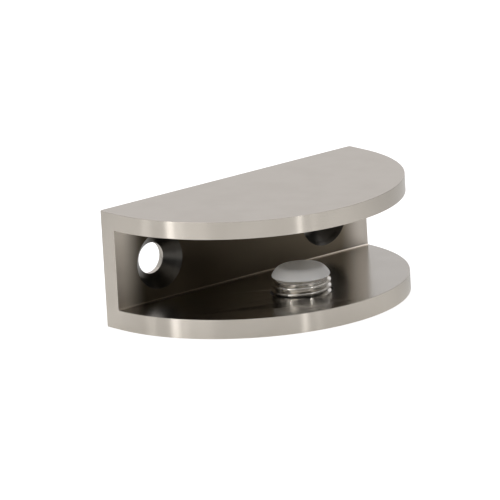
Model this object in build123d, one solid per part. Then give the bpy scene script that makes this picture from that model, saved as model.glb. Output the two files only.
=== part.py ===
from build123d import *
from math import ceil, radians, sqrt, tan
import os

# Glass panel clamp: a half-round clamp for the wall, with an open slot between
# two flanges. A fine-threaded screw in the lower flange lifts a plastic pad
# against the glass. Lengths are in millimetres.
# The back face lies on Y = 0 and faces +Y, and +Z is up. The origin is on the
# back face, midway between the two screw holes.

# Body, seen from above
clamp_width = 55.0
side_straight = 4.1
back_corner_radius = 0.5

# Body, seen from the side
clamp_height = 20.0
wall_thickness = 3.5
floor_thickness = 3.3
roof_thickness = 3.0
slot_foot_radius = 0.3
edge_break = 0.2

# Fixing holes through the back wall, for countersunk wood screws
hole_spacing = 36.0
hole_diameter = 5.3
countersink_diameter = 8.6
countersink_angle = 90.0
head_recess_diameter = 9.7
head_recess_depth = 0.75
hole_mouth_break = 0.15

# Clamping screw, with a fine metric thread
screw_reach = 18.4
thread_diameter = 10.0
thread_pitch = 1.0
thread_depth_share = 0.6134
crest_flat_share = 0.125
thread_angle = 60.0
thread_start_angle = 126.0
screw_length = 6.0
screw_stand = 2.8
screw_chamfer = 0.8
thread_clearance = 0.05
thread_mouth_chamfer = 0.25

# Hexagon socket in the screw's lower end
socket_across_flats = 5.0
socket_depth = 2.3
socket_chamfer = 0.3
socket_drill_angle = 140.0

# Plastic pad on the screw's upper end
pad_base_diameter = 9.8
pad_top_diameter = 7.2
pad_height = 1.7
pad_lip_height = 0.25
pad_side_bulge = 0.12
pad_edge_radius = 0.6
pad_dish_diameter = 5.6
pad_dish_depth = 0.1

# Stem that snaps the pad into the screw's recess
stem_diameter = 4.0
stem_length = 1.8
bead_width = 0.6
bead_rise = 0.15
stem_tip_chamfer = 0.25
stem_clearance = 0.08

# One overrun for every cut that runs past a face
overrun = 1.0

# Places that follow from the sizes above
half_width = clamp_width / 2
bottom_z = -clamp_height / 2
top_z = clamp_height / 2
floor_z = bottom_z + floor_thickness
roof_z = top_z - roof_thickness
front_y = -(side_straight + half_width)
screw_radius = thread_diameter / 2
screw_top_z = floor_z + screw_stand
screw_axis_place = Location((0, -screw_reach, 0))


def plan_outline():
    """Half-round outline of the body seen from above, straight along the wall."""
    sides_end = -side_straight
    outline = Polyline(
        (-half_width, sides_end),
        (-half_width, 0),
        (half_width, 0),
        (half_width, sides_end),
    )
    nose = ThreePointArc((half_width, sides_end), (0, front_y), (-half_width, sides_end))
    face = make_face(outline + nose)
    back_corners = face.vertices().group_by(Axis.Y)[-1]
    return fillet(back_corners, back_corner_radius)


def slot_cutter():
    """Glass slot, open to the front and to both sides, with a rounded foot."""
    slot_run = -front_y - wall_thickness + overrun
    slot_height = roof_z - floor_z
    profile = Plane.YZ * Pos(-wall_thickness - slot_run / 2, (roof_z + floor_z) / 2) * Rectangle(
        slot_run, slot_height
    )
    wall_corners = profile.vertices().group_by(Axis.Y)[-1]
    profile = fillet(wall_corners, slot_foot_radius)
    return extrude(profile, half_width + overrun, both=True)


def fixing_hole_cutter():
    """Through hole, countersink and recess for the head, its back end on the plane Y = 0."""
    hole_radius = hole_diameter / 2
    sink_radius = countersink_diameter / 2
    sink_depth = (sink_radius - hole_radius) / tan(radians(countersink_angle / 2))
    recess_radius = head_recess_diameter / 2
    recess_y = -(wall_thickness - head_recess_depth)
    past_face = recess_radius + overrun * (recess_radius - sink_radius) / head_recess_depth
    half_section = Polyline(
        (0, overrun),
        (hole_radius + hole_mouth_break + overrun, overrun),
        (hole_radius, -hole_mouth_break),
        (hole_radius, recess_y + sink_depth),
        (sink_radius, recess_y),
        (past_face, -(wall_thickness + overrun)),
        (0, -(wall_thickness + overrun)),
        close=True,
    )
    return revolve(make_face(half_section), Axis.Y)


def screw_hole_cutter():
    """Bore for the clamping screw through the floor, with a chamfer at each mouth."""
    bore_radius = screw_radius + thread_clearance
    mouth_radius = bore_radius + thread_mouth_chamfer
    half_section = Polyline(
        (0, bottom_z - overrun),
        (mouth_radius + overrun, bottom_z - overrun),
        (bore_radius, bottom_z + thread_mouth_chamfer),
        (bore_radius, floor_z - thread_mouth_chamfer),
        (mouth_radius + overrun, floor_z + overrun),
        (0, floor_z + overrun),
        close=True,
    )
    return screw_axis_place * revolve(make_face(Plane.XZ * half_section), Axis.Z)


def clamp_body():
    """One casting: back wall, roof and floor, with its holes and broken edges."""
    blank = extrude(Pos(0, 0, bottom_z) * plan_outline(), clamp_height)
    blank = chamfer(blank.edges().filter_by(Axis.Z, reverse=True), edge_break)
    slot = slot_cutter()
    casting = blank - slot
    casting = chamfer(new_edges(blank, slot, combined=casting), edge_break)
    for side in (-1, 1):
        casting -= Pos(side * hole_spacing / 2, 0, 0) * fixing_hole_cutter()
    return casting - screw_hole_cutter()


def thread_groove():
    """One turn of the V groove between two thread crests, starting at Z = 0."""
    depth = thread_depth_share * thread_pitch
    flank_slope = tan(radians(thread_angle / 2))
    mouth_half = thread_pitch * (1 - crest_flat_share) / 2
    past_crest = thread_pitch * crest_flat_share / 2
    outer_half = mouth_half + past_crest * flank_slope
    root_half = mouth_half - depth * flank_slope
    outer_radius = screw_radius + past_crest
    root_radius = screw_radius - depth
    section = Polyline(
        (outer_radius, -outer_half),
        (outer_radius, outer_half),
        (root_radius, root_half),
        (root_radius, -root_half),
        close=True,
    )
    turn = Helix(thread_pitch, thread_pitch, root_radius)
    groove = sweep(make_face(Plane.XZ * section), turn, is_frenet=True)
    return Rot(0, 0, thread_start_angle) * groove


def screw_blank():
    """Turned blank of the screw, chamfered at both ends, standing on Z = 0."""
    blank = Cylinder(screw_radius, screw_length, align=(Align.CENTER, Align.CENTER, Align.MIN))
    return chamfer(blank.edges().filter_by(GeomType.CIRCLE), screw_chamfer)


def hex_socket_cutter():
    """Hexagon socket with a chamfered mouth and a drill point, cut up from Z = 0."""
    flats_radius = socket_across_flats / 2
    corner_radius = socket_across_flats / sqrt(3)
    mouth_radius = corner_radius + socket_chamfer
    point_height = flats_radius / tan(radians(socket_drill_angle / 2))
    upwards = (Align.CENTER, Align.CENTER, Align.MIN)
    prism = extrude(RegularPolygon(corner_radius, 6), socket_depth)
    mouth = Cone(mouth_radius, flats_radius, mouth_radius - flats_radius, align=upwards)
    drill_point = Pos(0, 0, socket_depth) * Cone(flats_radius, 0, point_height, align=upwards)
    return prism + mouth + drill_point


def stem_section(grow):
    """Half section of the pad's stem hanging from Z = 0, its faces moved out by grow."""
    radius = stem_diameter / 2 + grow
    tip_z = -(stem_length + grow)
    bead_low_z = tip_z + stem_tip_chamfer
    bead_high_z = bead_low_z + bead_width + 2 * grow
    bead_radius = radius + bead_rise
    return Polyline(
        (0, 0),
        (radius, 0),
        (radius, bead_high_z + bead_rise),
        (bead_radius, bead_high_z),
        (bead_radius, bead_low_z),
        (radius - stem_tip_chamfer, tip_z),
        (0, tip_z),
        close=True,
    )


def stem_form(grow):
    """Stem turned from its half section."""
    return revolve(make_face(Plane.XZ * stem_section(grow)), Axis.Z)


def clamp_screw():
    """Headless clamping screw: thread, hexagon socket below, recess for the pad above."""
    threaded = screw_blank()
    groove = thread_groove()
    for turn in range(-1, ceil(screw_length / thread_pitch) + 1):
        threaded -= Pos(0, 0, turn * thread_pitch) * groove
    threaded -= hex_socket_cutter()
    threaded -= Pos(0, 0, screw_length) * stem_form(stem_clearance)
    return screw_axis_place * Pos(0, 0, screw_top_z - screw_length) * threaded


def pad_head():
    """Low plastic button standing on Z = 0, with a bulged side and a dished top."""
    base_radius = pad_base_diameter / 2
    top_radius = pad_top_diameter / 2
    foot = Polyline((0, pad_height), (0, 0), (base_radius, 0), (base_radius, pad_lip_height))
    side = SagittaArc((base_radius, pad_lip_height), (top_radius, pad_height), -pad_side_bulge)
    top = Line((top_radius, pad_height), (0, pad_height))
    section = make_face(Plane.XZ * (foot + side + top))
    button = revolve(section, Axis.Z)
    button = fillet(button.edges().group_by(Axis.Z)[-1], pad_edge_radius)
    dish_radius = pad_dish_diameter / 2
    ball_radius = (dish_radius**2 + pad_dish_depth**2) / (2 * pad_dish_depth)
    return button - Pos(0, 0, pad_height - pad_dish_depth + ball_radius) * Sphere(ball_radius)


def screw_pad():
    """Pad that presses on the glass, its stem snapped into the screw."""
    pad = pad_head() + stem_form(0)
    return screw_axis_place * Pos(0, 0, screw_top_z) * pad


parts = {
    "clamp_body": clamp_body(),
    "clamp_screw": clamp_screw(),
    "screw_pad": screw_pad(),
}

os.makedirs("parts", exist_ok=True)
for name, solid in parts.items():
    export_step(solid, f"parts/{name}.step")
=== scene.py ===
import logging
import math
from dataclasses import dataclass, field
from enum import Enum, IntEnum

import bmesh
import bpy
from bmesh.types import BMesh, BMVert
from bpy.types import Camera, Light, Material, Mesh, MeshPolygon, Node, NodeSocket, Object, World
from mathutils import Matrix, Vector


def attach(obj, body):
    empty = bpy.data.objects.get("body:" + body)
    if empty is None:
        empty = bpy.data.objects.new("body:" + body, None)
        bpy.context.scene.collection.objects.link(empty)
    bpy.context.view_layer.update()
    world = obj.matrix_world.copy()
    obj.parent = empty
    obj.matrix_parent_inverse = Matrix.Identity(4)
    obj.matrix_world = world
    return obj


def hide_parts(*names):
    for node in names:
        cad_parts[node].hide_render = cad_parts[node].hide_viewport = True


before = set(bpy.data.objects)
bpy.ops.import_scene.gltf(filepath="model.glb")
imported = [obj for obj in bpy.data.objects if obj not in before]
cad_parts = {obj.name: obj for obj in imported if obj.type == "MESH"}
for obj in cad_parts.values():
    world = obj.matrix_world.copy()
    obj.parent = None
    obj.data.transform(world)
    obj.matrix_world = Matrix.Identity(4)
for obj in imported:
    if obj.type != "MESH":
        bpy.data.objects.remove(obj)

log = logging.getLogger("glass_clamp")

MM = 0.001  # one millimetre in metres
WELD = 1e-5  # vertices nearer than this become one, in millimetres
SLIVER = 1e-6  # edges shorter than this are dissolved, in millimetres
OVERRUN = 1.0  # how far a cut runs past a face, in millimetres
ROW_DIGITS = 6  # decimals that are kept of a thread row's height
MIX_LOW, MIX_HIGH, MIX_RESULT = 6, 7, 2  # the colour sockets of a Mix node

Colour = tuple[float, float, float]
Point = tuple[float, float, float]
Span = tuple[float, float]
Profile = list[tuple[float, float]]

BLACK: Colour = (0.0, 0.0, 0.0)
WHITE: Colour = (1.0, 1.0, 1.0)


class Body(Enum):
    """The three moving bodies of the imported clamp."""

    BRACKET = "bracket"
    SCREW = "screw"
    PAD = "pad"


class Slot(Enum):
    """The record's material slots."""

    NICKEL = "satin_nickel"
    STEEL = "bright_steel"
    PLASTIC = "pad_plastic"


@dataclass(frozen=True)
class Sock:
    """An output socket of a recipe's tree, for Python expressions; each operator adds a Math node."""

    recipe: "Recipe"
    socket: NodeSocket

    def _math(self, operation: str, *values: "Sock | float") -> "Sock":
        """The value of a new Math node."""
        return self.recipe.value("ShaderNodeMath", {"operation": operation}, dict(enumerate(values)))

    def __add__(self, other: "Sock | float") -> "Sock":
        """Sum."""
        return self._math("ADD", self, other)

    def __radd__(self, other: float) -> "Sock":
        """Sum with a number on the left."""
        return self._math("ADD", other, self)

    def __sub__(self, other: "Sock | float") -> "Sock":
        """Difference."""
        return self._math("SUBTRACT", self, other)

    def __rsub__(self, other: float) -> "Sock":
        """Difference from a number on the left."""
        return self._math("SUBTRACT", other, self)

    def __mul__(self, other: "Sock | float") -> "Sock":
        """Product."""
        return self._math("MULTIPLY", self, other)

    def __rmul__(self, other: float) -> "Sock":
        """Product with a number on the left."""
        return self._math("MULTIPLY", other, self)

    def largest(self, other: "Sock | float") -> "Sock":
        """The larger of this and another value."""
        return self._math("MAXIMUM", self, other)

    def absolute(self) -> "Sock":
        """The value without its sign."""
        return self._math("ABSOLUTE", self)

    def angle_from(self, other: "Sock | float") -> "Sock":
        """The angle in radians whose tangent is this value over another."""
        return self._math("ARCTAN2", self, other)

    def ramp(self, low: float, high: float) -> "Sock":
        """Smooth step from zero to one.

        Args:
            low: The value at which the step starts.
            high: The value at which it ends.

        Returns:
            The stepped value.
        """
        return self.recipe.value(
            "ShaderNodeMapRange",
            {"interpolation_type": "SMOOTHSTEP"},
            {"Value": self, "From Min": low, "From Max": high, "To Min": 0.0, "To Max": 1.0},
            "Result",
        )


class Recipe:
    """Builds one node tree, of a material or of the world."""

    def __init__(self, owner: Material | World) -> None:
        """Start with an empty tree.

        Args:
            owner: The material or world whose tree is built.
        """
        owner.use_nodes = True
        self.tree = owner.node_tree
        self.tree.nodes.clear()

    def node(self, kind: str, settings: dict | None = None, sockets: dict | None = None) -> Node:
        """Add any node.

        Args:
            kind: The node's type.
            settings: Properties that are set before the sockets.
            sockets: Input sockets by name or number, each a value, a Sock or another node's socket.

        Returns:
            The new node.
        """
        made = self.tree.nodes.new(kind)
        for name, setting in (settings or {}).items():
            setattr(made, name, setting)
        for key, value in (sockets or {}).items():
            target = made.inputs[key]
            if isinstance(value, Sock):
                self.tree.links.new(value.socket, target)
            elif isinstance(value, NodeSocket):
                self.tree.links.new(value, target)
            elif target.type == "RGBA":
                target.default_value = (*value, 1.0)
            else:
                target.default_value = value
        return made

    def value(
        self, kind: str, settings: dict | None = None, sockets: dict | None = None, output: str | int = 0
    ) -> Sock:
        """Add a node as node() does, and wrap one of its outputs."""
        return Sock(self, self.node(kind, settings, sockets).outputs[output])

    def split(self, vector: Sock) -> tuple[Sock, Sock, Sock]:
        """The three parts of a vector."""
        apart = self.node("ShaderNodeSeparateXYZ", None, {"Vector": vector})
        return Sock(self, apart.outputs[0]), Sock(self, apart.outputs[1]), Sock(self, apart.outputs[2])

    def join(self, x: Sock | float, y: Sock | float, z: Sock | float) -> Sock:
        """A vector from its three parts."""
        return self.value("ShaderNodeCombineXYZ", None, {0: x, 1: y, 2: z})

    def scaled(self, vector: Sock, factors: Point) -> Sock:
        """A vector with each part multiplied by its own factor."""
        return self.value("ShaderNodeVectorMath", {"operation": "MULTIPLY"}, {0: vector, 1: factors})

    def dot(self, vector: Sock, other: Vector) -> Sock:
        """The dot product of a vector and a fixed one."""
        settings = {"operation": "DOT_PRODUCT"}
        return self.value("ShaderNodeVectorMath", settings, {0: vector, 1: other}, "Value")

    def place_mm(self) -> Sock:
        """The place on the piece, in millimetres."""
        return self.scaled(self.value("ShaderNodeTexCoord", None, None, "Object"), (1.0 / MM,) * 3)

    def blend(self, factor: Sock | float, low: Sock | Colour, high: Sock | Colour) -> Sock:
        """A colour between two colours; a factor of zero gives the first one."""
        sockets = {"Factor": factor, MIX_LOW: low, MIX_HIGH: high}
        return self.value("ShaderNodeMix", {"data_type": "RGBA"}, sockets, MIX_RESULT)

    def bump(self, height: Sock, depth: float) -> Sock:
        """The normal of a relief whose depth is given in millimetres."""
        return self.value("ShaderNodeBump", None, {"Strength": 1.0, "Distance": depth * MM, "Height": height})

    def noise(self, vector: Sock, scale: float, detail: float = 3.0, roughness: float = 0.55) -> Sock:
        """Soft noise between zero and one.

        Args:
            vector: Where the noise is read.
            scale: Its cells per unit of that vector.
            detail: How many finer layers it has.
            roughness: How strong the finer layers are.

        Returns:
            The noise value.
        """
        return self.value(
            "ShaderNodeTexNoise",
            {"noise_dimensions": "3D"},
            {"Vector": vector, "Scale": scale, "Detail": detail, "Roughness": roughness},
            "Fac",
        )

    def finish(self, kind: str, shader: NodeSocket) -> None:
        """Connect the surface to an output node of the given type."""
        self.node(kind, None, {"Surface": shader})

    def principled(self, sockets: dict) -> None:
        """Make the surface of one Principled shader."""
        shader = self.node("ShaderNodeBsdfPrincipled", None, sockets)
        self.finish("ShaderNodeOutputMaterial", shader.outputs[0])


class Grain(Enum):
    """Which way a face was brushed before it was plated."""

    AROUND = "around"
    ALONG = "along"
    BLASTED = "blasted"


class Surface(IntEnum):
    """The surfaces of the casting, each with a finish of its own."""

    RIM = 0
    FLATS = 1
    PLATE = 2
    WALL = 3
    HOLES = 4
    FOOT = 5


@dataclass(frozen=True)
class SatinNickel:
    """Satin nickel plating over a brushed casting. Lengths are in millimetres, scales are per millimetre.

    Attributes:
        shade: The colour in the slightly darker clouds of the plating.
        stretch: How far the highlights are drawn out, in the direction of stretch_turn, a share of a turn.
        around_scale: Changes in a brush line per radian of the rounded front.
        arc_centre_y: Place along Y of that front's axis.
        painted_left_tone: The colour of painted shade deep in the slot, left of the middle.
        painted_right_tone: The painted colour right of the middle, lighter because more light falls there.
        painted_shade_fade: The places along X between which one passes into the other.
        painted_shade_from: How far inside the ends, which are at end_x, the painted shade sets in; it is full
            at painted_shade_to.
    """

    grain: Grain
    name: str = ""
    tone: Colour = (0.585, 0.545, 0.492)
    shade: Colour = (0.560, 0.519, 0.466)
    cloud_scale: float = 0.16
    cloud_edges: Span = (0.35, 0.70)
    roughness: float = 0.30
    smoother: float = 0.03
    line_rough: float = 0.04
    cloud_rough: float = 0.025
    stretch: float = 0.0
    stretch_turn: float = 0.25
    line_depth: float = 0.0006
    across_scale: float = 9.0
    along_scale: float = 0.09
    around_scale: float = 1.6
    pit_scale: float = 5.0
    arc_centre_y: float = -4.1
    painted_left_tone: Colour | None = None
    painted_right_tone: Colour = (0.285, 0.241, 0.180)
    painted_shade_fade: Span = (-10.0, 19.0)
    painted_shade_from: float = 1.2
    painted_shade_to: float = 6.3
    end_x: float = 27.5

    def material(self) -> Material:
        """Build the material.

        Returns:
            The finished material.
        """
        made = bpy.data.materials.new(f"satin_nickel_{self.name or self.grain.value}")
        recipe = Recipe(made)
        place = recipe.place_mm()
        x, y, z = recipe.split(place)
        if self.grain is Grain.AROUND:
            turn = x.angle_from(y - self.arc_centre_y)
            lines_at = recipe.join(turn * self.around_scale, 0.0, z * self.across_scale)
        elif self.grain is Grain.ALONG:
            lines_at = recipe.join(x * self.along_scale, y * self.across_scale, z * self.across_scale)
        else:
            lines_at = recipe.scaled(place, (self.pit_scale,) * 3)
        lines = recipe.noise(lines_at, scale=1.0, detail=4.0, roughness=0.7)
        clouds = recipe.noise(place, self.cloud_scale, detail=4.0)
        tint = recipe.blend(clouds.ramp(*self.cloud_edges), self.tone, self.shade)
        # Painted shade: inside the ends the colour goes over to a darker one, darkest left of the middle.
        if self.painted_left_tone is not None:
            inside = self.end_x - x.absolute()
            painted_tint = recipe.blend(x.ramp(*self.painted_shade_fade), self.painted_left_tone, self.painted_right_tone)
            tint = recipe.blend(inside.ramp(self.painted_shade_from, self.painted_shade_to), tint, painted_tint)
        rough = self.roughness - self.smoother + self.line_rough * lines + self.cloud_rough * clouds
        recipe.principled({
            "Base Color": tint,
            "Metallic": 1.0,
            "Roughness": rough,
            "Normal": recipe.bump(lines, self.line_depth),
            "Anisotropic": self.stretch,
            "Anisotropic Rotation": self.stretch_turn,
        })
        return made


@dataclass(frozen=True)
class BrightSteel:
    """Bright plated steel of a rolled thread. Lengths are in millimetres, scales are per millimetre."""

    tone: Colour = (0.82, 0.80, 0.76)
    worn: Colour = (0.64, 0.61, 0.56)
    spot_scale: float = 1.3
    spot_edges: Span = (0.45, 0.75)
    roughness: float = 0.15
    smoother: float = 0.04
    spot_rough: float = 0.10
    scratch_scale: Point = (1.5, 1.5, 14.0)
    scratch_depth: float = 0.002

    def material(self) -> Material:
        """Build the material.

        Returns:
            The finished material.
        """
        made = bpy.data.materials.new("bright_steel_thread")
        recipe = Recipe(made)
        place = recipe.place_mm()
        spots = recipe.noise(place, self.spot_scale, detail=4.0)
        scratches = recipe.noise(recipe.scaled(place, self.scratch_scale), scale=1.0, roughness=0.7)
        recipe.principled({
            "Base Color": recipe.blend(spots.ramp(*self.spot_edges), self.tone, self.worn),
            "Metallic": 1.0,
            "Roughness": self.roughness - self.smoother + self.spot_rough * spots,
            "Normal": recipe.bump(scratches, self.scratch_depth),
        })
        return made


@dataclass(frozen=True)
class PadPlastic:
    """Soft translucent plastic of the pad. Lengths are in millimetres, scales are per millimetre."""

    tone: Colour = (0.92, 0.91, 0.885)
    milky: Colour = (0.95, 0.94, 0.915)
    cloud_scale: float = 0.5
    roughness: float = 0.34
    pore_scale: float = 7.0
    pore_rough: float = 0.10
    pore_depth: float = 0.004
    refraction: float = 1.47
    milkiness: float = 0.35
    spread: Point = (1.0, 0.95, 0.9)
    depth: float = 0.8

    def material(self) -> Material:
        """Build the material.

        Returns:
            The finished material.
        """
        made = bpy.data.materials.new("pad_plastic_milky")
        recipe = Recipe(made)
        place = recipe.place_mm()
        clouds = recipe.noise(place, self.cloud_scale)
        pores = recipe.noise(place, self.pore_scale)
        recipe.principled({
            "Base Color": recipe.blend(clouds, self.tone, self.milky),
            "Roughness": self.roughness + self.pore_rough * (pores - 0.5),
            "Normal": recipe.bump(pores, self.pore_depth),
            "IOR": self.refraction,
            "Subsurface Weight": self.milkiness,
            "Subsurface Radius": self.spread,
            "Subsurface Scale": self.depth * MM,
        })
        return made


def make_object(name: str, data: Mesh | Light | Camera) -> Object:
    """Link a mesh, lamp or camera into the scene.

    Args:
        name: The object's name.
        data: Its mesh, lamp or camera.

    Returns:
        The new object.
    """
    made = bpy.data.objects.new(name, data)
    bpy.context.scene.collection.objects.link(made)
    return made


def direction(heading: float, rise: float) -> Vector:
    """The vector of length one for a heading from the front and a rise above the horizon, in degrees."""
    turn, lift = math.radians(heading), math.radians(rise)
    return Vector((math.sin(turn) * math.cos(lift), -math.cos(turn) * math.cos(lift), math.sin(lift)))


def mesh_of(name: str, work: BMesh) -> Mesh:
    """Turn millimetre geometry into a mesh in metres.

    Args:
        name: The mesh's name.
        work: The geometry; it is freed.

    Returns:
        The mesh.
    """
    bmesh.ops.remove_doubles(work, verts=work.verts, dist=WELD)
    bmesh.ops.recalc_face_normals(work, faces=work.faces)
    bmesh.ops.scale(work, vec=(MM, MM, MM), verts=work.verts)
    made = bpy.data.meshes.new(name)
    work.to_mesh(made)
    work.free()
    return made


def shade(mesh: Mesh, angle: float) -> None:
    """Smooth shading, with edges over an angle in degrees left sharp."""
    mesh.shade_smooth()
    mesh.set_sharp_from_angle(angle=math.radians(angle))


def apply_modifiers(owner: Object) -> None:
    """Replace an object's mesh by the result of its modifiers.

    Args:
        owner: The object.
    """
    bpy.context.view_layer.update()
    graph = bpy.context.evaluated_depsgraph_get()
    done = bpy.data.meshes.new_from_object(owner.evaluated_get(graph))
    owner.modifiers.clear()
    owner.data = done


def prism(name: str, outline: Profile, ends: Span, plane: Matrix | None = None) -> Object:
    """A straight prism over an outline.

    Args:
        name: The object's name.
        outline: The corners in millimetres.
        ends: Heights of its lower and upper end.
        plane: Where the outline's plane lies, for one that isn't horizontal.

    Returns:
        The new object.
    """
    work = bmesh.new()
    low, high = ([work.verts.new((x, y, z)) for x, y in outline] for z in ends)
    work.faces.new(reversed(low))
    work.faces.new(high)
    for i in range(len(outline)):
        j = (i + 1) % len(outline)
        work.faces.new((low[i], low[j], high[j], high[i]))
    if plane is not None:
        bmesh.ops.transform(work, matrix=plane, verts=work.verts)
    return make_object(name, mesh_of(name, work))


def turned(name: str, profile: Profile, steps: int, place: Matrix) -> Object:
    """A turned solid whose profile starts and ends on its axis.

    Args:
        name: The object's name.
        profile: Radius and height of each ring in millimetres.
        steps: Divisions round the axis.
        place: Where the solid stands, in millimetres.

    Returns:
        The new object.
    """
    work = bmesh.new()
    rings = []
    for radius, z in profile:
        angles = circle_angles(steps) if radius > 0 else [0.0]
        rings.append([work.verts.new((radius * math.cos(t), radius * math.sin(t), z)) for t in angles])
    stitch(work, rings)
    bmesh.ops.transform(work, matrix=place, verts=work.verts)
    return make_object(name, mesh_of(name, work))


def circle_angles(steps: int) -> list[float]:
    """Even angles round a circle, in radians."""
    return [2.0 * math.pi * i / steps for i in range(steps)]


def stitch(work: BMesh, rings: list[list[BMVert]], closed: bool = True) -> None:
    """Join rings of vertices into a skin; a ring of one vertex closes it.

    Args:
        work: The geometry that gets the faces.
        rings: The rings in order, each with as many vertices as the others or only one.
        closed: Whether the last vertex of a ring is joined to its first one.
    """
    for first, second in zip(rings, rings[1:]):
        steps = max(len(first), len(second))
        for i in range(steps if closed else steps - 1):
            j = (i + 1) % steps
            corners = [ring[k % len(ring)] for ring, k in ((first, i), (first, j), (second, j), (second, i))]
            unique = list(dict.fromkeys(corners))
            if len(unique) > 2:
                work.faces.new(unique)


def arc(centre: Span, radius: float, start: float, end: float, steps: int) -> Profile:
    """Points along an arc from one angle to another in degrees, both ends among them."""
    angles = [math.radians(start + (end - start) * i / steps) for i in range(steps + 1)]
    return [(centre[0] + radius * math.cos(a), centre[1] + radius * math.sin(a)) for a in angles]


@dataclass(frozen=True)
class ThreadForm:
    """The thread that the screw and the tapped hole share. Sizes in millimetres, angles in degrees.

    Attributes:
        crest: Width of a crest; its edges are rounded over crest_round, by round_share of that.
        start_angle: Where a root is level with the screw's foot.
        crest_rows: Rows of the skin on a crest, as shares of its half width.
        round_rows: Rows in the rounding, as shares of crest_round.
        spare_turns: Turns of rows below and above a span, for the climb within a turn.
    """

    diameter: float = 10.0
    pitch: float = 1.0
    depth: float = 0.52
    crest: float = 0.24
    crest_round: float = 0.05
    round_share: float = 0.5
    flank_angle: float = 30.0
    start_angle: float = 126.0
    crest_rows: tuple[float, ...] = (0.0, 0.55, 1.0)
    round_rows: tuple[float, ...] = (0.6, 1.4)
    spare_turns: tuple[int, int] = (2, 1)
    steps: int = 144

    @property
    def flank_slope(self) -> float:
        """Height of a flank for each millimetre of its depth."""
        return math.tan(math.radians(self.flank_angle))

    def offsets(self) -> list[float]:
        """Heights within one pitch, measured from a crest's middle, at which the skin has a row.

        Returns:
            The heights, in rising order.
        """
        half = self.crest / 2
        flank = half + self.depth * self.flank_slope
        upper = [half * share for share in self.crest_rows]
        upper += [half + self.crest_round * share for share in self.round_rows]
        upper += [(half + flank) / 2, flank]
        lower = [self.pitch - u for u in reversed(upper[1:])]
        return upper + [self.pitch / 2] + lower

    def inset(self, offset: float) -> float:
        """How deep the thread is at a height from a crest's middle.

        Args:
            offset: The height from the crest's middle.

        Returns:
            The distance inwards from the outer cylinder.
        """
        near = abs((offset + self.pitch / 2) % self.pitch - self.pitch / 2)
        half = self.crest / 2
        slope = 1.0 / self.flank_slope
        sharp = min(max(0.0, (near - half) * slope), self.depth)
        rounded = self.crest_round * self.round_share * math.exp(-((near - half) / self.crest_round) ** 2)
        return min(sharp + rounded, self.depth)

    def rows(self, low: float, high: float) -> list[float]:
        """Heights at the start angle of the rows that cover a span at every angle.

        Args:
            low: The span's lower end.
            high: Its upper end.

        Returns:
            The heights, in rising order.
        """
        first = math.floor(low / self.pitch) - self.spare_turns[0]
        last = math.ceil(high / self.pitch) + self.spare_turns[1]
        found = [turn * self.pitch + u for turn in range(first, last + 1) for u in self.offsets()]
        return sorted(set(round(h, ROW_DIGITS) for h in found))

    def angles(self) -> list[float]:
        """The angles of one whole turn with both its ends, which lie a pitch apart along the crest."""
        return circle_angles(self.steps) + [2.0 * math.pi]

    def lead(self, angle: float) -> float:
        """How far above the foot a crest is at an angle in radians, from half a pitch at the start angle."""
        return self.pitch * (angle - math.radians(self.start_angle)) / (2.0 * math.pi) + self.pitch / 2


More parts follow.
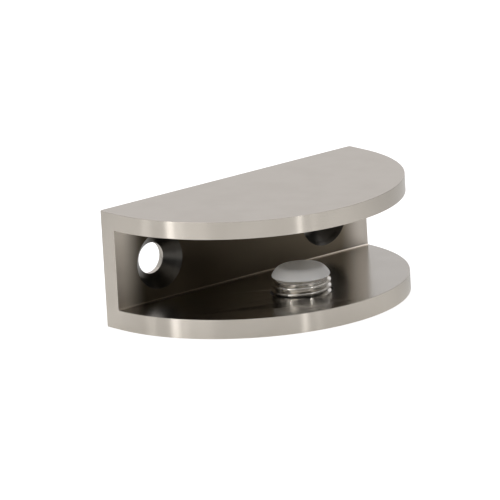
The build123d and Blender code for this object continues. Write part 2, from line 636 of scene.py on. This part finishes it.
@dataclass
class ClampCasting:
    """The body: one casting with back wall, roof and floor. Sizes in millimetres, angles in degrees.

    Attributes:
        mouth_curve: Shares of hole_break that round a hole's mouth in the back face.
        soft_edge: Rounding in the countersink; ledge_curve and lip_curve are shares of it at the recess.
        flare: How far the hole's cutter runs out beyond the recess, in radius and depth.
        sharp_angle: An edge over it is broken; one over smooth_angle is shaded sharp.
        near: How near to a surface a face counts as on it; rim_slack and recess_slack are for round ones.
        bore_lean: How far along Z a normal of the bore's wall points at most; upright_lean is for the rest.
        foot_lean: How far along Y a normal of the slot's foot points; hole_lean and wall_lean are for theirs.
    """

    width: float = 55.0
    side_straight: float = 4.1
    back_corner: float = 0.5
    height: float = 20.0
    wall: float = 3.5
    floor: float = 3.3
    roof: float = 3.0
    slot_foot: float = 0.3
    edge_break: float = 0.07
    hole_spacing: float = 36.0
    hole_diameter: float = 5.3
    sink_diameter: float = 8.6
    recess_diameter: float = 9.7
    recess_depth: float = 0.75
    hole_break: float = 0.15
    screw_reach: float = 18.4
    bore_mouth: float = 5.3
    bore_clearance: float = 0.05
    mouth_curve: Point = (0.3, 0.45, 1.4)
    soft_edge: float = 0.06
    ledge_curve: Span = (0.4, 0.5)
    lip_curve: Span = (0.4, 0.15)
    flare: Span = (2.0, 0.6)
    corner_steps: int = 5
    foot_steps: int = 8
    nose_steps: int = 160
    hole_steps: int = 72
    edge_steps: int = 3
    sharp_angle: float = 50.0
    smooth_angle: float = 38.0
    near: float = 0.01
    rim_slack: float = 0.05
    recess_slack: float = 0.12
    bore_lean: float = 0.1
    upright_lean: float = 0.75
    foot_lean: float = -0.05
    hole_lean: float = -0.2
    wall_lean: float = -0.95
    thread: ThreadForm = field(default_factory=ThreadForm)

    @property
    def floor_z(self) -> float:
        """Height of the slot's floor."""
        return -self.height / 2 + self.floor

    @property
    def roof_z(self) -> float:
        """Height of the slot's roof."""
        return self.height / 2 - self.roof

    def outline(self) -> Profile:
        """Half-round outline seen from above.

        Returns:
            The corners, counter-clockwise.
        """
        half, corner = self.width / 2, self.back_corner
        right = arc((half - corner, -corner), corner, 0.0, 90.0, self.corner_steps)
        left = arc((-half + corner, -corner), corner, 90.0, 180.0, self.corner_steps)
        nose = arc((0.0, -self.side_straight), half, 180.0, 360.0, self.nose_steps)
        return right + left + nose

    def slot_outline(self) -> Profile:
        """The slot's section, open to the front, as Y and Z.

        Returns:
            The corners.
        """
        back, foot, front = -self.wall, self.slot_foot, -2.0 * self.width
        lower = arc((back - foot, self.floor_z + foot), foot, -90.0, 0.0, self.foot_steps)
        upper = arc((back - foot, self.roof_z - foot), foot, 0.0, 90.0, self.foot_steps)
        return [(front, self.floor_z)] + lower + upper + [(front, self.roof_z)]

    def hole_profile(self) -> Profile:
        """Profile of the cutter for a fixing hole, from the back face towards the slot.

        Returns:
            Radius and depth of each ring.
        """
        hole, sink, edge = self.hole_diameter / 2, self.sink_diameter / 2, self.hole_break
        recess, ledge = self.recess_diameter / 2, self.wall - self.recess_depth
        wall, soft = self.wall, self.soft_edge
        bend_out, bend_in, bend_end = self.mouth_curve
        return [
            (0.0, -OVERRUN),
            (hole + edge + OVERRUN, -OVERRUN),
            (hole + edge, 0.0),
            (hole + edge * bend_out, edge * bend_in),
            (hole, edge * bend_end),
            (hole, ledge - (sink - hole)),
            (sink - soft, ledge - soft),
            (sink + soft * self.ledge_curve[0], ledge + soft * self.ledge_curve[1]),
            (recess - soft * self.lip_curve[0], wall - soft),
            (recess + soft, wall + soft * self.lip_curve[1]),
            (recess + self.flare[0], wall + self.flare[1]),
            (0.0, wall + self.flare[1]),
        ]

    def cut(self, owner: Object, cutter: Object) -> None:
        """Cut one solid from another and drop the cutter.

        Args:
            owner: The solid that is cut.
            cutter: The solid that is taken away.
        """
        step = owner.modifiers.new("cut", "BOOLEAN")
        step.operation = "DIFFERENCE"
        step.solver = "EXACT"
        step.object = cutter
        apply_modifiers(owner)
        bpy.data.objects.remove(cutter)

    def break_edges(self, owner: Object) -> None:
        """Round off the sharp edges a little.

        Args:
            owner: The casting, before its holes are drilled.
        """
        soften = owner.modifiers.new("soften", "BEVEL")
        soften.width = self.edge_break * MM
        soften.segments = self.edge_steps
        soften.limit_method = "ANGLE"
        soften.angle_limit = math.radians(self.sharp_angle)
        soften.use_clamp_overlap = False
        apply_modifiers(owner)

    def drill(self, owner: Object) -> None:
        """Drill the two fixing holes and a plain bore for the screw.

        Args:
            owner: The casting.
        """
        towards_slot = Matrix.Rotation(math.radians(90.0), 4, "X")
        for side in (-1.0, 1.0):
            place = Matrix.Translation((side * self.hole_spacing / 2, 0.0, 0.0)) @ towards_slot
            self.cut(owner, turned("hole", self.hole_profile(), self.hole_steps, place))
        low, high = -self.height / 2 - OVERRUN, self.floor_z + OVERRUN
        bore = [(0.0, low), (self.bore_mouth, low), (self.bore_mouth, high), (0.0, high)]
        place = Matrix.Translation((0.0, -self.screw_reach, 0.0))
        self.cut(owner, turned("bore", bore, self.thread.steps, place))

    def tap(self, owner: Object) -> None:
        """Replace the plain bore's wall by the tapped thread.

        Args:
            owner: The casting, with a plain bore of the mouth's radius.
        """
        work = bmesh.new()
        work.from_mesh(owner.data)
        bmesh.ops.scale(work, vec=(1 / MM, 1 / MM, 1 / MM), verts=work.verts)
        axis, edge = Vector((0.0, -self.screw_reach)), self.bore_mouth + self.near
        plain = [
            face for face in work.faces
            if abs(face.normal.z) < self.bore_lean and all((v.co.xy - axis).length < edge for v in face.verts)
        ]
        bmesh.ops.delete(work, geom=plain, context="FACES")
        low, high = -self.height / 2, self.floor_z
        form = self.thread
        outer = form.diameter / 2 + self.bore_clearance
        screw_foot = ClampScrew().foot_z
        rings = []
        for row in form.rows(0.0, self.floor + OVERRUN):
            ring = []
            for angle in form.angles():
                z = min(max(screw_foot + row + form.lead(angle), low), high)
                groove = form.inset(z - screw_foot - form.lead(angle))
                mouth = self.bore_mouth - min(z - low, high - z)
                radius = max(outer - groove, mouth)
                point = (radius * math.cos(angle), radius * math.sin(angle) - self.screw_reach, z)
                ring.append(work.verts.new(point))
            rings.append(ring)
        stitch(work, rings, closed=False)
        bmesh.ops.dissolve_degenerate(work, dist=SLIVER, edges=work.edges)
        old, owner.data = owner.data, mesh_of("clamp_casting", work)
        bpy.data.meshes.remove(old)

    def finishes(self) -> dict[Surface, SatinNickel]:
        """The finish of each surface.

        Returns:
            The finishes by surface.
        """
        # Painted light and shade on the slot's wall and foot: end gives them a very bright tone near the
        # slot's open sides, where light comes in, and painted_left_tone darkens them towards the middle as
        # painted shade, darkest left of it.
        end = {"tone": (0.97, 0.90, 0.81), "shade": (0.94, 0.87, 0.78), "end_x": self.width / 2}
        return {
            Surface.RIM: SatinNickel(
                Grain.AROUND, stretch=1.0, roughness=0.225, arc_centre_y=-self.side_straight
            ),
            Surface.FLATS: SatinNickel(Grain.ALONG),
            Surface.PLATE: SatinNickel(
                Grain.BLASTED, "slot_floor", tone=(0.50, 0.472, 0.43), shade=(0.48, 0.452, 0.41),
                roughness=0.20, line_depth=0.0001,
            ),
            Surface.WALL: SatinNickel(
                Grain.ALONG, "slot_wall", **end, stretch=1.0, roughness=0.42, painted_left_tone=(0.095, 0.078, 0.055)
            ),
            # The holes and countersinks are nearly black, far darker than the plating around them.
            Surface.HOLES: SatinNickel(
                Grain.BLASTED, "holes", tone=(0.080, 0.076, 0.070), shade=(0.064, 0.061, 0.056)
            ),
            Surface.FOOT: SatinNickel(
                Grain.ALONG, "slot_foot", **end, painted_left_tone=(0.17, 0.142, 0.11), painted_right_tone=(0.70, 0.62, 0.52)
            ),
        }

    def surface_of(self, mesh: Mesh, face: MeshPolygon) -> Surface:
        """Tell which surface of the casting a face belongs to.

        Args:
            mesh: The casting's mesh.
            face: One of its faces.

        Returns:
            The surface.
        """
        near, forwards = self.near, face.normal.y
        x, y, z = (part / MM for part in face.center)
        upright = abs(face.normal.z) < self.upright_lean
        from_axis = math.hypot(x, min(y + self.side_straight, 0.0))
        on_rim = from_axis > self.width / 2 - self.edge_break - self.rim_slack
        in_slot = self.floor_z - near < z < self.roof_z + near and not on_rim and y < -self.wall + near
        at_wall = in_slot and y > -self.wall - self.slot_foot and forwards < self.foot_lean
        by_hole = math.hypot(abs(x) - self.hole_spacing / 2, z) < self.recess_diameter / 2 + self.recess_slack
        in_hole = by_hole and -self.wall < y < -near and forwards < self.hole_lean
        corners = (mesh.vertices[i].co / MM for i in face.vertices)
        farthest = max(math.hypot(c.x, c.y + self.screw_reach) for c in corners)
        if upright and on_rim:
            return Surface.RIM
        if in_hole or farthest < self.bore_mouth + 2.0 * near:
            return Surface.HOLES
        if at_wall:
            return Surface.WALL if forwards < self.wall_lean else Surface.FOOT
        if in_slot or (upright and y < -near):
            return Surface.PLATE
        return Surface.FLATS

    def dress(self, owner: Object) -> None:
        """Give each surface its own finish.

        Args:
            owner: The finished casting.
        """
        finishes = self.finishes()
        for surface in Surface:
            owner.data.materials.append(finishes[surface].material())
        for face in owner.data.polygons:
            face.material_index = self.surface_of(owner.data, face).value

    def build(self) -> Object:
        """Build the casting.

        Returns:
            The dressed object.
        """
        body = prism("clamp_casting", self.outline(), (-self.height / 2, self.height / 2))
        # The slot's section stands upright: its first axis lies along Y, its second along Z.
        upright = Matrix(((0, 0, 1, 0), (1, 0, 0, 0), (0, 1, 0, 0), (0, 0, 0, 1)))
        self.cut(body, prism("slot", self.slot_outline(), (-self.width, self.width), upright))
        self.break_edges(body)
        self.drill(body)
        self.tap(body)
        shade(body.data, self.smooth_angle)
        flatten = body.modifiers.new("flatten", "WEIGHTED_NORMAL")
        flatten.keep_sharp = True
        flatten.weight = 100
        apply_modifiers(body)
        self.dress(body)
        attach(body, Body.BRACKET.value)
        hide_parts("clamp_body")
        return body


@dataclass
class ClampScrew:
    """The headless clamping screw. Sizes in millimetres, angles in degrees."""

    reach: float = 18.4
    top_z: float = -3.9
    length: float = 6.0
    chamfer: float = 0.8
    socket_flats: float = 5.0
    socket_depth: float = 2.3
    socket_chamfer: float = 0.3
    drill_angle: float = 140.0
    recess_radius: float = 2.08
    recess_depth: float = 1.88
    recess_break: float = 0.15
    axis_share: float = 0.02
    smooth_angle: float = 40.0
    thread: ThreadForm = field(default_factory=ThreadForm)

    @property
    def foot_z(self) -> float:
        """Height of the screw's lower end."""
        return self.top_z - self.length

    def hex_radius(self, angle: float) -> float:
        """Distance from the axis to the hexagon's wall at an angle in radians."""
        sixth = math.pi / 3
        return self.socket_flats / 2 / math.cos(angle % sixth - sixth / 2)

    def socket_rings(self, angle: float) -> Profile:
        """Radius and height of the socket's skin at one angle, from the drill point outwards.

        Args:
            angle: The angle in radians.

        Returns:
            Five points.
        """
        flats, wall = self.socket_flats / 2, self.hex_radius(angle)
        mouth = self.socket_flats / math.sqrt(3.0) + self.socket_chamfer
        point = self.socket_depth + flats / math.tan(math.radians(self.drill_angle / 2))
        return [
            (flats * self.axis_share, point),
            (flats, self.socket_depth),
            (wall, self.socket_depth),
            (wall, mouth - wall),
            (mouth, 0.0),
        ]

    def column(self, angle: float, rows: list[float]) -> Profile:
        """The whole skin at one angle: socket, thread and the recess for the pad.

        Args:
            angle: The angle in radians.
            rows: Heights of the thread's rows at the start angle.

        Returns:
            Radius and height of each point.
        """
        form, radius = self.thread, self.thread.diameter / 2
        found = self.socket_rings(angle)
        for row in rows:
            z = min(max(row + form.lead(angle), 0.0), self.length)
            end = radius - self.chamfer + min(z, self.length - z)
            found.append((min(radius - form.inset(z - form.lead(angle)), end), z))
        bottom = self.length - self.recess_depth
        found += [
            (self.recess_radius + self.recess_break, self.length),
            (self.recess_radius, self.length - self.recess_break),
            (self.recess_radius, bottom),
            (self.recess_radius * self.axis_share, bottom),
        ]
        return found

    def build(self) -> Object:
        """Build the screw.

        Returns:
            The dressed object.
        """
        rows = self.thread.rows(0.0, self.length)
        columns = [(angle, self.column(angle, rows)) for angle in self.thread.angles()]
        work = bmesh.new()
        rings = []
        for k in range(len(columns[0][1])):
            points = [(angle, *column[k]) for angle, column in columns]
            rings.append([work.verts.new((r * math.cos(a), r * math.sin(a), z)) for a, r, z in points])
        stitch(work, rings, closed=False)
        work.faces.new(rings[0][:-1])
        work.faces.new(reversed(rings[-1][:-1]))
        bmesh.ops.translate(work, vec=(0.0, -self.reach, self.foot_z), verts=work.verts)
        bmesh.ops.dissolve_degenerate(work, dist=SLIVER, edges=work.edges)
        screw = make_object("threaded_screw", mesh_of("threaded_screw", work))
        shade(screw.data, self.smooth_angle)
        screw.data.materials.append(BrightSteel().material())
        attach(screw, Body.SCREW.value)
        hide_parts("clamp_screw")
        return screw


@dataclass
class SnapPad:
    """The plastic pad with its stem. Sizes in millimetres, angles in degrees.

    Attributes:
        corner_inset: How far inside the top's edge the corner's curve bends.
        edge_share: The share of edge_radius under the top at which the bulged side starts.
        dish_rows: Radii of the rings in the dish, as shares of its own.
        corner_rows: Places of the rings along the corner's curve, as shares of its length.
    """

    reach: float = 18.4
    base_z: float = -3.9
    base_diameter: float = 9.8
    top_diameter: float = 7.2
    height: float = 1.7
    lip: float = 0.25
    bulge: float = 0.12
    edge_radius: float = 0.6
    dish_diameter: float = 5.6
    dish_depth: float = 0.1
    stem_diameter: float = 4.0
    stem_length: float = 1.8
    bead_width: float = 0.6
    bead_rise: float = 0.15
    tip_chamfer: float = 0.25
    corner_inset: float = 0.02
    edge_share: float = 0.5
    foot_break: float = 0.03
    dish_rows: tuple[float, ...] = (0.0, 0.25, 0.5, 0.75, 0.92, 1.0)
    corner_rows: tuple[float, ...] = (0.0, 0.15, 0.3, 0.45, 0.6, 0.75, 0.9)
    side_steps: int = 12
    steps: int = 96
    smooth_angle: float = 40.0

    def side(self) -> Profile:
        """The bulged side from the lip up to the top edge.

        Returns:
            Radius and height of each ring.
        """
        base, top = self.base_diameter / 2, self.top_diameter / 2
        rise = self.height - self.lip
        lean = math.hypot(rise, base - top)
        out_r, out_z = rise / lean, (base - top) / lean
        points = []
        for i in range(self.side_steps + 1):
            share = i / self.side_steps
            swell = 4.0 * self.bulge * share * (1.0 - share)
            radius = base + (top - base) * share + out_r * swell
            points.append((radius, self.lip + rise * share + out_z * swell))
        return points

    def profile(self) -> Profile:
        """The pad's whole profile from the middle of its top to the tip of its stem.

        Returns:
            Radius and height of each ring.
        """
        dish, depth, base = self.dish_diameter / 2, self.dish_depth, self.base_diameter / 2
        top = [(dish * s, self.height - depth * (1.0 - s**2)) for s in self.dish_rows]
        side = [p for p in reversed(self.side()) if self.height - p[1] > self.edge_radius * self.edge_share]
        start = Vector((self.top_diameter / 2 - self.edge_radius, self.height))
        bend = Vector((self.top_diameter / 2 - self.corner_inset, self.height))
        end = Vector(side[0])
        corner = [tuple((1 - t) ** 2 * start + 2 * t * (1 - t) * bend + t**2 * end) for t in self.corner_rows]
        stem, tip = self.stem_diameter / 2, -self.stem_length
        bead_low = tip + self.tip_chamfer
        bead_high = bead_low + self.bead_width
        under = [
            (base, self.foot_break),
            (base - self.foot_break, 0.0),
            (stem, 0.0),
            (stem, bead_high + self.bead_rise),
            (stem + self.bead_rise, bead_high),
            (stem + self.bead_rise, bead_low),
            (stem - self.tip_chamfer, tip),
            (0.0, tip),
        ]
        return top + corner + side + under

    def build(self) -> Object:
        """Build the pad.

        Returns:
            The dressed object.
        """
        place = Matrix.Translation((0.0, -self.reach, self.base_z))
        pad = turned("press_pad", self.profile(), self.steps, place)
        shade(pad.data, self.smooth_angle)
        pad.data.materials.append(PadPlastic().material())
        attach(pad, Body.PAD.value)
        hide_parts("screw_pad")
        return pad


@dataclass
class Softbox:
    """One lamp with a rectangular diffuser. Sizes in metres, angles in degrees, level in watts.

    Attributes:
        heading: Its direction from the front, positive towards +X.
        rise: Its direction above the horizon.
    """

    name: str
    heading: float
    width: float
    level: float
    height: float = 0.13
    rise: float = 3.6
    distance: float = 1.2

    def build(self) -> Object:
        """Place the lamp so that it faces the clamp.

        Returns:
            The lamp.
        """
        lamp = bpy.data.lights.new(self.name, "AREA")
        lamp.shape = "RECTANGLE"
        lamp.size, lamp.size_y = self.width, self.height
        lamp.energy = self.level
        owner = make_object(self.name, lamp)
        away = direction(self.heading, self.rise)
        owner.location = away * self.distance
        owner.rotation_euler = away.to_track_quat("Z", "Y").to_euler()
        owner.visible_camera = False
        return owner


@dataclass(frozen=True)
class PaleWall:
    """A pale part of the room, which lights the clamp and shows in it. Angles in degrees.

    Attributes:
        heading: Direction of its middle from the front, positive towards +X.
        rise: Direction of its middle above the horizon.
        edges: Cosines of the angles from its middle between which it fades in.
        level: Its brightness.
    """

    heading: float
    rise: float
    edges: Span
    level: float

    def shine(self, recipe: Recipe, way: Sock) -> Sock:
        """Its brightness in a direction, which is a vector of length one."""
        towards = recipe.dot(way, direction(self.heading, self.rise))
        return towards.ramp(*self.edges) * self.level


@dataclass
class Studio:
    """A pale table and a pale backdrop in a dim room, with low lamps in front and one card high on the left.

    Attributes:
        table_z: Height of the table in metres.
        walls: The backdrop, the light overhead, the paler side of the room and the far table.
        paper_lit: The table's paper in the light, as the clamp sees it; paper_dim is painted shade on the dim
            sides.
        paper_seen: The paper as the camera sees it, apart from its glow.
        dim_sides: Headings in radians between which the paper's painted shade sets in, and how strong it is.
        glow_mirrored: How much it glows in reflections; glow_fall is less of that on the dim sides, as
            painted shade.
    """

    table_z: float = -0.0101
    table_size: float = 8.0
    room_level: float = 0.04
    room_tint: Colour = (1.0, 0.985, 0.99)
    walls: tuple[PaleWall, ...] = (
        PaleWall(heading=164.0, rise=0.0, edges=(0.45, 0.66), level=0.765),
        PaleWall(heading=0.0, rise=90.0, edges=(0.38, 0.68), level=1.0),
        PaleWall(heading=85.0, rise=30.0, edges=(0.72, 0.95), level=0.36),
        PaleWall(heading=0.0, rise=-90.0, edges=(0.0, 0.02), level=0.9),
    )
    paper_lit: Colour = (0.86, 0.86, 0.86)
    paper_dim: Colour = (0.63, 0.63, 0.63)
    paper_seen: Colour = (0.50, 0.50, 0.50)
    dim_sides: tuple[Point, ...] = ((0.30, 1.25, 1.0), (-1.2, -1.6, 0.15), (-2.1, -2.4, 1.2))
    glow_seen: float = 0.85
    glow_mirrored: float = 0.29
    glow_fall: float = 0.14
    glow_tint: Colour = (1.0, 1.0, 0.94)
    lamps: tuple[Softbox, ...] = (
        Softbox("left_lamp", heading=-91.0, width=0.12, level=0.74),
        Softbox("left_wing", heading=-84.5, width=0.15, level=0.16),
        Softbox("far_left_lamp", heading=-110.0, width=0.16, level=0.22),
        Softbox("left_card", heading=-76.0, width=0.50, level=1.7, height=0.9, rise=24.0, distance=1.25),
        Softbox("front_lamp", heading=-0.6, width=0.07, level=0.33),
        Softbox("front_wing", heading=10.0, width=0.09, level=0.07),
    )

    def seen(self, recipe: Recipe) -> tuple[Sock, Sock]:
        """Which rays look at the studio.

        Args:
            recipe: The tree that asks.

        Returns:
            One for a camera ray, and one for a ray in a reflection or through glass.
        """
        path = recipe.node("ShaderNodeLightPath")
        camera = Sock(recipe, path.outputs["Is Camera Ray"])
        glossy = Sock(recipe, path.outputs["Is Glossy Ray"])
        through = Sock(recipe, path.outputs["Is Transmission Ray"])
        return camera, glossy.largest(through)

    def world(self) -> None:
        """Build the surroundings: backdrop, dim room and white for the camera."""
        owner = bpy.data.worlds.new("studio")
        bpy.context.scene.world = owner
        recipe = Recipe(owner)
        way = recipe.value("ShaderNodeTexCoord", None, None, "Generated")
        level: Sock | float = self.room_level
        for wall in self.walls:
            level = wall.shine(recipe, way).largest(level)
        camera, _ = self.seen(recipe)
        surroundings = recipe.blend(camera, recipe.blend(level, BLACK, self.room_tint), WHITE)
        light = recipe.node("ShaderNodeBackground", None, {"Color": surroundings, "Strength": 1.0})
        recipe.finish("ShaderNodeOutputWorld", light.outputs[0])

    def paper(self) -> Material:
        """Build the table's pale paper, which can be looked through from below.

        Returns:
            The finished material.
        """
        made = bpy.data.materials.new("pale_table")
        recipe = Recipe(made)
        camera, mirrored = self.seen(recipe)
        x, y, _ = recipe.split(recipe.value("ShaderNodeTexCoord", None, None, "Object"))
        heading = x.angle_from(-1.0 * y)
        # Painted shade on the table: the paper and its glow are darker at some headings from the clamp.
        dim: Sock | float = 0.0
        for start, end, share in self.dim_sides:
            dim = (heading.ramp(start, end) * share).largest(dim)
        pale = recipe.blend(camera, recipe.blend(dim, self.paper_lit, self.paper_dim), self.paper_seen)
        paper = recipe.node("ShaderNodeBsdfDiffuse", None, {"Color": pale})
        strength = camera * self.glow_seen + mirrored * (self.glow_mirrored - self.glow_fall * dim)
        tint = recipe.blend(strength, BLACK, recipe.blend(camera, self.glow_tint, WHITE))
        glow = recipe.node("ShaderNodeEmission", None, {"Color": tint, "Strength": 1.0})
        both = recipe.node("ShaderNodeAddShader", None, {0: paper.outputs[0], 1: glow.outputs[0]})
        clear = recipe.node("ShaderNodeBsdfTransparent")
        behind = recipe.value("ShaderNodeNewGeometry", None, None, "Backfacing")
        face = recipe.node("ShaderNodeMixShader", None, {0: behind, 1: both.outputs[0], 2: clear.outputs[0]})
        recipe.finish("ShaderNodeOutputMaterial", face.outputs[0])
        return made

    def table(self) -> Object:
        """Build the pale table.

        Returns:
            The table.
        """
        half = self.table_size / 2
        work = bmesh.new()
        corners = ((-half, -half), (half, -half), (half, half), (-half, half))
        work.faces.new([work.verts.new((x, y, 0.0)) for x, y in corners])
        mesh = bpy.data.meshes.new("table")
        work.to_mesh(mesh)
        work.free()
        mesh.materials.append(self.paper())
        owner = make_object("table", mesh)
        owner.location.z = self.table_z
        return owner

    def build(self) -> None:
        """Build the whole studio."""
        self.world()
        self.table()
        for lamp in self.lamps:
            lamp.build()


@dataclass
class PhotoCamera:
    """A long lens that sees the clamp as the photograph does. Angles in degrees, optics in millimetres.

    Attributes:
        target: The point at the picture's middle, in millimetres.
        yaw: The view's heading from +Y towards +X; pitch is how far it looks down, and roll how far it leans.
        distance: From the target, in metres.
        reach: The nearest and farthest distance that it sees, in metres.
    """

    target: Point = (2.217, -2.674, -2.603)
    yaw: float = 39.285
    pitch: float = 14.349
    roll: float = -3.346
    distance: float = 1.774
    lens: float = 758.5
    sensor: float = 36.0
    reach: Span = (0.05, 50.0)

    def build(self) -> Object:
        """Place the camera and make it the scene's own.

        Returns:
            The camera.
        """
        yaw, pitch, roll = (math.radians(a) for a in (self.yaw, self.pitch, self.roll))
        ahead = Vector((math.sin(yaw) * math.cos(pitch), math.cos(yaw) * math.cos(pitch), -math.sin(pitch)))
        level = Vector((math.cos(yaw), -math.sin(yaw), 0.0))
        upright = level.cross(ahead)
        right = level * math.cos(roll) + upright * math.sin(roll)
        up = upright * math.cos(roll) - level * math.sin(roll)
        lens = bpy.data.cameras.new("photo_camera")
        lens.lens = self.lens
        lens.sensor_width = self.sensor
        lens.clip_start, lens.clip_end = self.reach
        owner = make_object("photo_camera", lens)
        spot = Vector(self.target) * MM - ahead * self.distance
        turn = Matrix((right, up, -ahead)).transposed().to_4x4()
        owner.matrix_world = Matrix.Translation(spot) @ turn
        bpy.context.scene.camera = owner
        return owner


def main() -> None:
    """Build the scene in order."""
    logging.basicConfig(level=logging.INFO, format="%(name)s: %(message)s")
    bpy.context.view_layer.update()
    PhotoCamera().build()
    Studio().build()
    for part in (ClampCasting(), ClampScrew(), SnapPad()):
        made = part.build()
    bpy.context.scene.view_settings.view_transform = "Standard"


if __name__ == "__main__":
    main()
